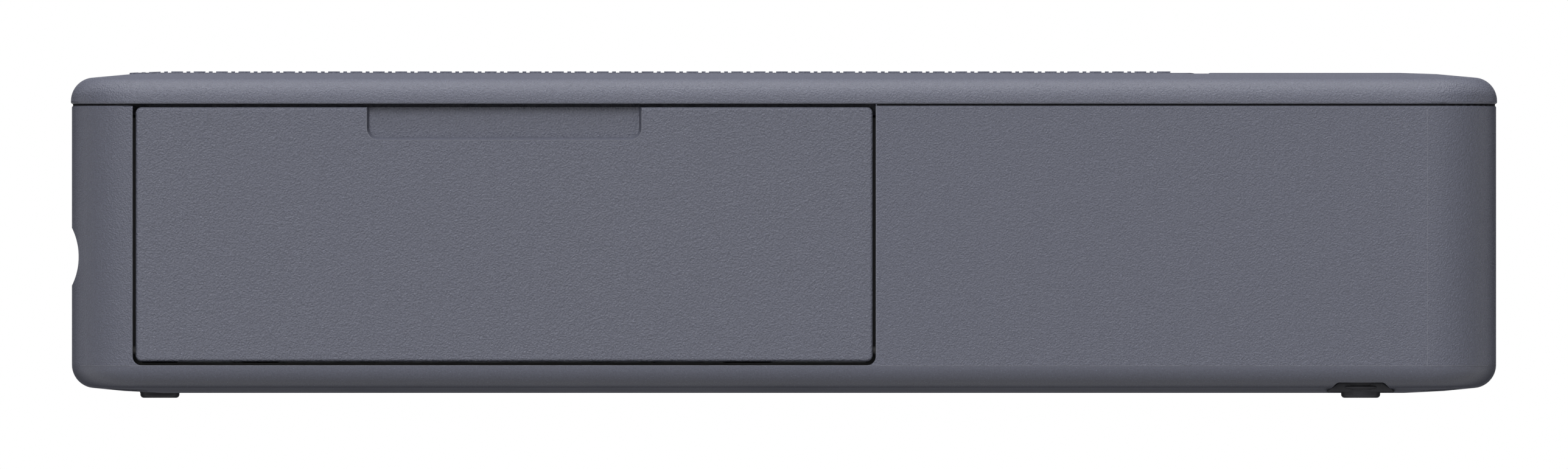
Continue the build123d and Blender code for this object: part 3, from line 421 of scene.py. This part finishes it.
# ---------------------------------------------------------------- edges and shading
def shading_group():
    """Geometry nodes: drops the stored normals and shades smooth up to an edge angle."""
    if "Moulded shading" in bpy.data.node_groups:
        return bpy.data.node_groups["Moulded shading"]
    tree = bpy.data.node_groups.new("Moulded shading", "GeometryNodeTree")
    tree.interface.new_socket("Geometry", in_out="INPUT", socket_type="NodeSocketGeometry")
    tree.interface.new_socket("Geometry", in_out="OUTPUT", socket_type="NodeSocketGeometry")
    start, end = tree.nodes.new("NodeGroupInput"), tree.nodes.new("NodeGroupOutput")
    forget = tree.nodes.new("GeometryNodeRemoveAttribute")
    forget.inputs["Name"].default_value = "custom_normal"
    faces = tree.nodes.new("GeometryNodeSetShadeSmooth")
    edges = tree.nodes.new("GeometryNodeSetShadeSmooth")
    edges.domain = "EDGE"
    angle = tree.nodes.new("GeometryNodeInputMeshEdgeAngle")
    gentle = tree.nodes.new("FunctionNodeCompare")
    gentle.operation = "LESS_THAN"
    gentle.inputs["B"].default_value = math.radians(34)
    tree.links.new(start.outputs[0], forget.inputs["Geometry"])
    tree.links.new(forget.outputs[0], faces.inputs["Geometry"])
    tree.links.new(faces.outputs[0], edges.inputs["Geometry"])
    tree.links.new(angle.outputs["Unsigned Angle"], gentle.inputs["A"])
    tree.links.new(gentle.outputs[0], edges.inputs["Shade Smooth"])
    tree.links.new(edges.outputs[0], end.inputs[0])
    return tree


def dress(names, finish, edge=0.0, segments=2):
    """Gives CAD nodes their finish, and rounds and shades their edges."""
    for name in names.split():
        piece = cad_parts[name]
        coat(name, finish)
        piece.modifiers.new("Joined facets", "WELD").merge_threshold = 0.000001
        dress_edges(piece, edge, segments)


def coat(names, finish):
    """Gives CAD nodes their finish and leaves their edges and shading as built."""
    for name in names.split():
        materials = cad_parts[name].data.materials
        materials.clear()
        materials.append(finish)


def dress_edges(piece, edge, segments=2):
    """Rounds a piece's edges and shades it smooth between them."""
    if edge:
        bevel = piece.modifiers.new("Edge rounding", "BEVEL")
        bevel.width = edge
        bevel.segments = segments
        bevel.limit_method = "ANGLE"
        bevel.angle_limit = math.radians(40)
    piece.modifiers.new("Moulded shading", "NODES").node_group = shading_group()
    piece.modifiers.new("Flat faces stay flat", "WEIGHTED_NORMAL").keep_sharp = True


# ---------------------------------------------------------------- new shapes, in millimetres
def corner_path(side, height, degrees, steps=14):
    """Points and outward directions round a corner of the case, from its long side on."""
    path = []
    for i in range(1, steps + 1):
        turn = math.radians(degrees * i / steps)
        out = Vector((side * math.sin(turn), -math.cos(turn), 0))
        path.append((Vector((side * CORNER_X, -CORNER_Y, height)) + out * CORNER_R, out))
    return path


def on_the_wall(*places):
    """A path on the case's long side from (x, z) places."""
    return [(Vector((x, -CASE_Y, z)), TOWARDS_DOOR) for x, z in places]


def recess_border():
    """Down one end of the door's finger recess, along its lower border and up the other end."""
    left, right = RECESS_X
    places = [(left, RECESS_TOP_Z)]
    for x, start in ((left + RECESS_R, 180), (right - RECESS_R, 270)):
        for step in range(0, 91, 15):
            turn = math.radians(start + step)
            places.append((x + RECESS_R * math.cos(turn), RECESS_Z + RECESS_R * (1 + math.sin(turn))))
    return on_the_wall(*places, (right, RECESS_TOP_Z))


def round_the_case(height, offset, steps=12):
    """A closed path round the case's four sides, anticlockwise from the near right corner."""
    path = []
    for quarter, (x, y) in enumerate(((1, -1), (1, 1), (-1, 1), (-1, -1))):
        for i in range(steps + 1):
            turn = math.radians(90 * (quarter + i / steps) - 90)
            out = Vector((math.cos(turn), math.sin(turn), 0))
            path.append((Vector((x * CORNER_X, y * CORNER_Y, height)) + out * (CORNER_R + offset), out))
    return path


def section_place(path, i, closed):
    """Where a section of a swept ridge stands: X across the path, Y out of the wall, Z along it."""
    point, out = path[i]
    before = path[i - 1][0] if i or closed else point
    after = path[(i + 1) % len(path)][0] if i + 1 < len(path) or closed else point
    across = (after - before).cross(out).normalized()
    turn = Matrix((across, out, across.cross(out))).transposed()
    return Matrix.Translation(point * MM) @ turn.to_4x4()


def bead(sheet, path, half, rise, closed=False):
    """A low ridge swept along a path of (point, outward direction), sunk a little into its wall."""
    place = section_place(path, 0, closed)
    profile = ((-half, -SUNK), (-half / 2, rise), (half / 2, rise), (half, -SUNK))
    verts = [sheet.verts.new(place @ (Vector((x, y, 0)) * MM)) for x, y in profile]
    edges = first = [sheet.edges.new((verts[i - 1], verts[i])) for i in range(4)]
    for i in [*range(1, len(path)), *[0] * closed]:
        following = section_place(path, i, closed)
        grown = bmesh.ops.extrude_edge_only(sheet, edges=edges)["geom"]
        verts = [item for item in grown if isinstance(item, bmesh.types.BMVert)]
        edges = [item for item in grown if isinstance(item, bmesh.types.BMEdge)]
        bmesh.ops.transform(sheet, matrix=following @ place.inverted(), verts=verts)
        place = following
    if closed:
        bmesh.ops.remove_doubles(sheet, verts=sheet.verts, dist=0.000001)
    else:
        bmesh.ops.holes_fill(sheet, edges=first + edges, sides=4)


def tapered_pad(sheet, base, top, depth):
    """A block with a wider base than its top, each given as (x from, x to, height)."""
    for vert in bmesh.ops.create_cube(sheet, size=1)["verts"]:
        x0, x1, height = top if vert.co.z > 0 else base
        vert.co = Vector((x1 if vert.co.x > 0 else x0, depth[vert.co.y > 0], height)) * MM


def flare(sheet, centre, profile, segments=48):
    """A solid of revolution about a vertical axis, from (radius, height) points."""
    axis = Vector((*centre, 0)) * MM
    points = [(0, profile[0][1]), *profile, (0, profile[-1][1])]
    verts = [sheet.verts.new(axis + Vector((radius, 0, height)) * MM) for radius, height in points]
    edges = [sheet.edges.new(pair) for pair in zip(verts, verts[1:])]
    bmesh.ops.spin(sheet, geom=verts + edges, cent=axis, axis=(0, 0, 1), angle=2 * math.pi,
                   steps=segments, use_merge=True, use_duplicate=False)
    bmesh.ops.remove_doubles(sheet, verts=sheet.verts, dist=0.0000005)


def new_piece(name, sheet, finish, body):
    """Makes a finished shape an object that rides on a body."""
    bmesh.ops.recalc_face_normals(sheet, faces=sheet.faces)
    mesh = bpy.data.meshes.new(name)
    sheet.to_mesh(mesh)
    sheet.free()
    mesh.materials.append(finish)
    piece = bpy.data.objects.new(name, mesh)
    bpy.context.scene.collection.objects.link(piece)
    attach(piece, body)
    return piece


# ---------------------------------------------------------------- the pieces
class PRINTER_OT_casing(bpy.types.Operator):
    """Lower case and top cover in grained plastic"""
    bl_idname = "printer.casing"
    bl_label = "Casing"

    def execute(self, context):
        case = context.scene.printer_case
        wall = grained_plastic("Case plastic", case.wall_colour, case.grain_size, case.grain_depth,
                               rough=(0.32, 0.38), fade=LINE_Z * MM)
        coat("lower_case top_cover", wall)
        self.ridges_with_painted_highlight()
        self.painted_seam_shade()
        return {"FINISHED"}

    def ridges_with_painted_highlight(self):
        """Hair-thin ridges that the mould's inserts leave along the tangent of the rounded edges; their
        paler plastic is painted highlight, for the light that these edges catch.
        """
        sheet = bmesh.new()
        left, right = (corner_path(side, LINE_Z, LINE_TURN) for side in (-1, 1))
        sill = on_the_wall((-CORNER_X, LINE_Z), (CORNER_X, LINE_Z))
        bead(sheet, left[::-1] + sill + right, 0.035, 0.009)
        bead(sheet, on_the_wall((CORNER_X, LINE_Z), (CORNER_X, POST_TOP_Z)), 0.03, 0.005)
        for x in DOOR_LINES_X:
            bead(sheet, on_the_wall(*((x, z) for z in DOOR_LINES_Z)), 0.03, 0.009)
        bead(sheet, round_the_case(COVER_LINE_Z, COVER_LINE_OUT), 0.03, 0.015, closed=True)
        new_piece("ridges_with_painted_highlight", sheet, painted_highlight_plastic("Tooling line painted highlight"), "printer")

    def painted_seam_shade(self):
        """A thin black strip in the seam between case and cover, open where the ink door is; it is painted
        shade, for the shadow under the cover's edge.
        """
        sheet = bmesh.new()
        loop = round_the_case(SEAM_Z, -SEAM_IN)
        right, left = ((Vector((x, SEAM_IN - CASE_Y, SEAM_Z)), TOWARDS_DOOR) for x in SEAM_ENDS_X)
        bead(sheet, [right, *loop, left], 0.1, 0.03)
        # painted shade: a black strip for the shadow in the seam under the cover's edge
        black = smooth_plastic("Painted seam shade", (0.008, 0.008, 0.009), (0.8, 0.9), Specular_IOR_Level=0.05)
        new_piece("painted_seam_shade", sheet, black, "printer")


class PRINTER_OT_lid(bpy.types.Operator):
    """Ribbed paper lid and its sprung pressure plate"""
    bl_idname = "printer.lid"
    bl_label = "Paper lid"

    def execute(self, context):
        case = context.scene.printer_case
        works = context.scene.printer_works
        wall = grained_plastic("Lid plastic", case.wall_colour, case.grain_size, case.grain_depth,
                               rough=(0.32, 0.38))
        coat("lid", wall)
        dress("pressure_plate", smooth_plastic("Plate plastic", works.inner_colour, (0.42, 0.5)), 0.00008)
        return {"FINISHED"}


class PRINTER_OT_ink_door(bpy.types.Operator):
    """Ink door with its bare finger recess"""
    bl_idname = "printer.ink_door"
    bl_label = "Ink door"

    def execute(self, context):
        case = context.scene.printer_case
        skin = grained_plastic("Door plastic", case.door_colour, case.grain_size * 1.12,
                               case.grain_depth * 1.15, rough=(0.32, 0.38))
        coat("ink_door", skin)
        sheet = bmesh.new()
        # a ridge along the recess's lower border in paler plastic: painted highlight of its rounded edge
        bead(sheet, recess_border(), 0.035, 0.012)
        new_piece("recess_rim_painted_highlight", sheet, painted_highlight_plastic("Recess rim painted highlight"), "ink_door")
        inner = context.scene.printer_works.inner_colour
        # the stop is in black inner plastic so that the door's gaps read dark: painted shade of a deep gap
        dress("door_stop", smooth_plastic("Stop plastic painted gap shade", inner, (0.5, 0.6)), 0.00004)
        return {"FINISHED"}


class PRINTER_OT_feet(bpy.types.Operator):
    """Four rubber feet"""
    bl_idname = "printer.feet"
    bl_label = "Feet"

    def execute(self, context):
        case = context.scene.printer_case
        rubber = grained_plastic("Foot rubber", case.foot_colour, 0.0002, 0.000004, rough=(0.55, 0.68))
        dress("front_feet rear_feet", rubber, 0.00012)
        sheet = bmesh.new()
        for side in (-1, 1):
            tapered_pad(sheet, PAD_BASE, PAD_TOP, sorted(side * y for y in PAD_Y))
            x, y = PAD_BUTTON
            flare(sheet, (x, side * y), BUTTON_PROFILE)
        dress_edges(new_piece("rear_foot_pads", sheet, rubber, "printer"), 0.00008)
        return {"FINISHED"}


class PRINTER_OT_fixings(bpy.types.Operator):
    """Screws, pins, bushes and studs"""
    bl_idname = "printer.fixings"
    bl_label = "Fixings"

    def execute(self, context):
        steel = turned_metal("Fixing steel", (0.52, 0.52, 0.53), 0.00006, rough=(0.26, 0.42))
        brass = turned_metal("Bush brass", BRASS, 0.00007, rough=(0.24, 0.38))
        # the door's hinge pins are black so that no bright pin shows in the door's gap: painted shade
        black = smooth_plastic("Blacked steel painted gap shade", (0.012, 0.012, 0.013), rough=(0.55, 0.7))
        dress("case_screws board_screws lid_hinge_pins plate_pins gear_studs", steel, 0.00003)
        dress("door_hinge_pins", black, 0.00003)
        dress("shaft_bushes", brass, 0.00003)
        return {"FINISHED"}


class PRINTER_OT_chassis(bpy.types.Operator):
    """Sheet chassis, paper tray and paper guides"""
    bl_idname = "printer.chassis"
    bl_label = "Chassis and guides"

    def execute(self, context):
        works = context.scene.printer_works
        zinc = zinc_sheet("Galvanised sheet", (0.34, 0.35, 0.37), crystal=0.0016)
        guide = grained_plastic("Guide plastic", works.inner_colour, 0.00025, 0.000003, rough=(0.40, 0.48))
        dress("chassis", zinc, 0.00003)
        dress("paper_tray turn_guide inner_guide lower_guide", guide, 0.00006)
        return {"FINISHED"}


class PRINTER_OT_rollers(bpy.types.Operator):
    """Ground shafts and rubber rollers"""
    bl_idname = "printer.rollers"
    bl_label = "Rollers"

    def execute(self, context):
        steel = turned_metal("Shaft steel", (0.58, 0.58, 0.59), 0.00005, rough=(0.14, 0.28))
        grit = gritted_metal("Gritted capstan", (0.47, 0.47, 0.48), cell=0.00012)
        rubber = grained_plastic("Roller rubber", (0.036, 0.036, 0.038), 0.00015, 0.000004,
                                 rough=(0.58, 0.72))
        dress("capstan_shaft", grit, 0.00003)
        dress("pinch_shaft platen_shaft pick_shaft head_pivot_shaft", steel, 0.00003)
        dress("pinch_rubber platen_rubber pick_tyres", rubber, 0.0001)
        return {"FINISHED"}


class PRINTER_OT_gears(bpy.types.Operator):
    """Acetal gears, brass pinions and their motors"""
    bl_idname = "printer.gears"
    bl_label = "Gears and motors"

    def execute(self, context):
        works = context.scene.printer_works
        acetal = smooth_plastic("Acetal", works.gear_colour, rough=(0.34, 0.44), Subsurface_Weight=0.08)
        brass = turned_metal("Pinion brass", BRASS, 0.00007, rough=(0.2, 0.34))
        can = turned_metal("Motor can", (0.48, 0.48, 0.50), 0.00015, rough=(0.22, 0.34))
        dress("capstan_gear pick_gear compound_gear feed_idler pick_idler takeup_hub ribbon_idler "
              "lift_camshaft release_lever", acetal, 0.00003)
        dress("feed_pinion ribbon_pinion", brass, 0.00002)
        dress("feed_motor ribbon_motor", can, 0.00015)
        return {"FINISHED"}


class PRINTER_OT_print_head(bpy.types.Operator):
    """Head bracket, heat sink and the heating strip's carrier"""
    bl_idname = "printer.print_head"
    bl_label = "Print head"

    def execute(self, context):
        drawn = extruded_metal("Extruded aluminium", (0.64, 0.65, 0.66), rough=(0.28, 0.42))
        glaze = smooth_plastic("Glazed ceramic", (0.74, 0.71, 0.63), rough=(0.12, 0.2), Coat_Weight=0.6)
        dress("head_bracket heat_sink", drawn, 0.00006)
        dress("head_substrate", glaze, 0.00004)
        return {"FINISHED"}


class PRINTER_OT_cassette(bpy.types.Operator):
    """Ink cassette: frame, spools and dye film"""
    bl_idname = "printer.cassette"
    bl_label = "Ink cassette"

    def execute(self, context):
        works = context.scene.printer_works
        frame_skin = grained_plastic("Cassette plastic", works.inner_colour, 0.00028, 0.000005,
                                     rough=(0.42, 0.52))
        spool = smooth_plastic("Spool plastic", works.gear_colour, rough=(0.38, 0.48))
        film = smooth_plastic("Dye film", works.film_colour, rough=(0.10, 0.18), patch=0.012, amount=0.08,
                              Coat_Weight=0.3)
        dress("cassette_frame", frame_skin, 0.00008)
        dress("supply_spool takeup_spool", spool, 0.00005)
        dress("supply_ribbon takeup_ribbon ribbon_web", film)
        return {"FINISHED"}


class PRINTER_OT_electrics(bpy.types.Operator):
    """Boards, battery, USB-C port, switch, button and light guides"""
    bl_idname = "printer.electrics"
    bl_label = "Electrics"

    def execute(self, context):
        works = context.scene.printer_works
        mask = smooth_plastic("Solder mask", works.board_colour, rough=(0.22, 0.32), patch=0.003,
                              amount=0.12, Coat_Weight=0.4)
        package = grained_plastic("Moulded package", (0.026, 0.026, 0.028), 0.0001, 0.000003,
                                  rough=(0.45, 0.6))
        shell = turned_metal("Port shell", (0.60, 0.60, 0.60), 0.0002, rough=(0.18, 0.28))
        wrap = smooth_plastic("Battery wrap", (0.030, 0.052, 0.11), rough=(0.20, 0.34), patch=0.01,
                              amount=0.06)
        clear = smooth_plastic("Light guide", (0.80, 0.83, 0.83), rough=(0.12, 0.2), patch=0.002,
                               amount=0.02, Transmission_Weight=0.35)
        button = grained_plastic("Button plastic", works.inner_colour, 0.0002, 0.000005, rough=(0.4, 0.5))
        dress("main_board interface_board", mask, 0.00002)
        dress("board_components power_switch", package, 0.00006)
        dress("usb_c_receptacle", shell, 0.00004)
        dress("battery_pack", wrap, 0.0003, segments=3)
        dress("light_guides", clear, 0.00008)
        dress("power_button", button, 0.00015, segments=3)
        return {"FINISHED"}


class PRINTER_OT_stage(bpy.types.Operator):
    """Camera, soft lamps, white surroundings and the floor"""
    bl_idname = "printer.stage"
    bl_label = "Stage"

    def execute(self, context):
        studio = context.scene.printer_studio
        scene = context.scene
        self.camera(scene, studio)
        self.lamp("Key softbox", -4, 38, 2.0, (0.9, 0.9), studio.key, gloss=False)
        self.lamp("High softbox", -6, 50, 2.0, (0.9, 0.9), studio.high)
        self.lamp("Overhead softbox", 0, 87, 1.0, (1.0, 0.5), studio.overhead)
        self.lamp("Top softbox", 0, 68, 1.2, (1.2, 0.5), studio.top)
        self.lamp("Side strip", -16, 18, 1.8, (0.3, 1.2), studio.side_strip)
        self.lamp("Back softbox", 180, 10, 2.0, (1.2, 0.6), studio.back, gloss=False)
        self.surroundings(scene, studio)
        self.floor()
        scene.view_settings.view_transform = "Standard"
        return {"FINISHED"}

    def camera(self, scene, studio):
        """A level camera without perspective, square to the long side."""
        lens = bpy.data.cameras.new("Camera")
        lens.type = "ORTHO"
        lens.sensor_fit = "HORIZONTAL"
        lens.ortho_scale = studio.frame_width
        lens.clip_start, lens.clip_end = 0.1, 100
        eye = bpy.data.objects.new("Camera", lens)
        eye.location = (0, -studio.distance, studio.eye_height)
        eye.rotation_euler = (math.pi / 2, 0, 0)
        scene.collection.objects.link(eye)
        scene.camera = eye

    def lamp(self, name, azimuth, elevation, distance, size, power, gloss=True):
        """A softbox aimed at the printer. Azimuth 0 is the camera's side, in degrees."""
        light = bpy.data.lights.new(name, "AREA")
        light.shape = "RECTANGLE"
        light.size, light.size_y = size
        light.energy = power
        around, up = math.radians(azimuth), math.radians(elevation)
        aim = Vector((math.cos(up) * math.sin(around), -math.cos(up) * math.cos(around), math.sin(up)))
        lamp = bpy.data.objects.new(name, light)
        lamp.location = aim * distance + Vector((0, 0, 0.02))
        lamp.rotation_euler = (-aim).to_track_quat("-Z", "Y").to_euler()
        lamp.visible_glossy = gloss
        bpy.context.scene.collection.objects.link(lamp)

    def seen(self, tree):
        """1 for camera, glossy and transmission rays."""
        path = tree.nodes.new("ShaderNodeLightPath")
        glossy = math_node(tree, "MAXIMUM", path.outputs["Is Camera Ray"], path.outputs["Is Glossy Ray"])
        return math_node(tree, "MAXIMUM", glossy, path.outputs["Is Transmission Ray"])

    def surroundings(self, scene, studio):
        """A white world to the camera and to gloss, and a faint even light to everything else."""
        world = bpy.data.worlds.new("White room")
        world.use_nodes = True
        tree = world.node_tree
        tree.nodes.clear()
        room, white = (tree.nodes.new("ShaderNodeBackground") for _ in range(2))
        room.inputs["Color"].default_value = (0.98, 0.99, 1, 1)
        room.inputs["Strength"].default_value = studio.room
        white.inputs["Color"].default_value = (1, 1, 1, 1)
        tree.links.new(self.side_flags(tree), white.inputs["Strength"])
        mixed = mix_shaders(tree, self.seen(tree), room.outputs[0], white.outputs[0])
        tree.links.new(mixed, tree.nodes.new("ShaderNodeOutputWorld").inputs["Surface"])
        scene.world = world

    def side_flags(self, tree):
        """White to the camera, with dark cards at both sides for the gloss of the rounded ends."""
        towards = tree.nodes.new("ShaderNodeSeparateXYZ")
        tree.links.new(tree.nodes.new("ShaderNodeTexCoord").outputs["Generated"], towards.inputs[0])
        sideways = math_node(tree, "ABSOLUTE", towards.outputs["X"])
        cards = remap(tree, sideways, 1.0, 0.1, start=0.55, stop=0.9)
        camera = tree.nodes.new("ShaderNodeLightPath").outputs["Is Camera Ray"]
        return math_node(tree, "MAXIMUM", camera, cards)

    def floor(self):
        """The ground, which is clear from below so that the underside can be seen."""
        sheet = bmesh.new()
        bmesh.ops.create_grid(sheet, x_segments=2, y_segments=2, size=4.0)
        mesh = bpy.data.meshes.new("Floor")
        sheet.to_mesh(mesh)
        sheet.free()
        mesh.materials.append(self.floor_paint())
        floor = bpy.data.objects.new("Floor", mesh)
        bpy.context.scene.collection.objects.link(floor)

    def floor_paint(self):
        """White paper to the camera and to gloss, but dull to the light that it sends back up."""
        material = bpy.data.materials.new("White floor")
        material.use_nodes = True
        tree = material.node_tree
        tree.nodes.clear()
        dull, pale = (tree.nodes.new("ShaderNodeBsdfDiffuse") for _ in range(2))
        dull.inputs["Color"].default_value = (0.10, 0.10, 0.10, 1)
        pale.inputs["Color"].default_value = (0.32, 0.32, 0.32, 1)
        lift = tree.nodes.new("ShaderNodeEmission")
        lift.inputs["Strength"].default_value = 0.94
        bright = tree.nodes.new("ShaderNodeAddShader")
        tree.links.new(pale.outputs[0], bright.inputs[0])
        tree.links.new(lift.outputs[0], bright.inputs[1])
        paper = mix_shaders(tree, self.seen(tree), dull.outputs[0], bright.outputs[0])
        below = tree.nodes.new("ShaderNodeNewGeometry").outputs["Backfacing"]
        clear = tree.nodes.new("ShaderNodeBsdfTransparent").outputs[0]
        tree.links.new(mix_shaders(tree, below, paper, clear),
                       tree.nodes.new("ShaderNodeOutputMaterial").inputs["Surface"])
        return material


# ---------------------------------------------------------------- panel and registration
PIECES = (PRINTER_OT_casing, PRINTER_OT_lid, PRINTER_OT_ink_door, PRINTER_OT_feet, PRINTER_OT_fixings,
          PRINTER_OT_chassis, PRINTER_OT_rollers, PRINTER_OT_gears, PRINTER_OT_print_head,
          PRINTER_OT_cassette, PRINTER_OT_electrics, PRINTER_OT_stage)


class PRINTER_PT_sidebar(bpy.types.Panel):
    """Lists the printer's pieces and its finishes"""
    bl_label = "Photo printer"
    bl_idname = "PRINTER_PT_sidebar"
    bl_space_type = "VIEW_3D"
    bl_region_type = "UI"
    bl_category = "Printer"

    def draw(self, context):
        for group in (context.scene.printer_case, context.scene.printer_works, context.scene.printer_studio):
            box = self.layout.box()
            for name in group.__annotations__:
                box.prop(group, name)
        for piece in PIECES:
            self.layout.operator(piece.bl_idname)


CLASSES = (CaseFinish, WorksFinish, Studio, *PIECES, PRINTER_PT_sidebar)


def register():
    for cls in CLASSES:
        bpy.utils.register_class(cls)
    bpy.types.Scene.printer_case = bpy.props.PointerProperty(type=CaseFinish)
    bpy.types.Scene.printer_works = bpy.props.PointerProperty(type=WorksFinish)
    bpy.types.Scene.printer_studio = bpy.props.PointerProperty(type=Studio)


def unregister():
    for name in ("printer_case", "printer_works", "printer_studio"):
        delattr(bpy.types.Scene, name)
    for cls in reversed(CLASSES):
        bpy.utils.unregister_class(cls)


def main():
    """Builds everything in order."""
    register()
    for piece in PIECES:
        group, name = piece.bl_idname.split(".")
        getattr(getattr(bpy.ops, group), name)()


if __name__ == "__main__":
    main()
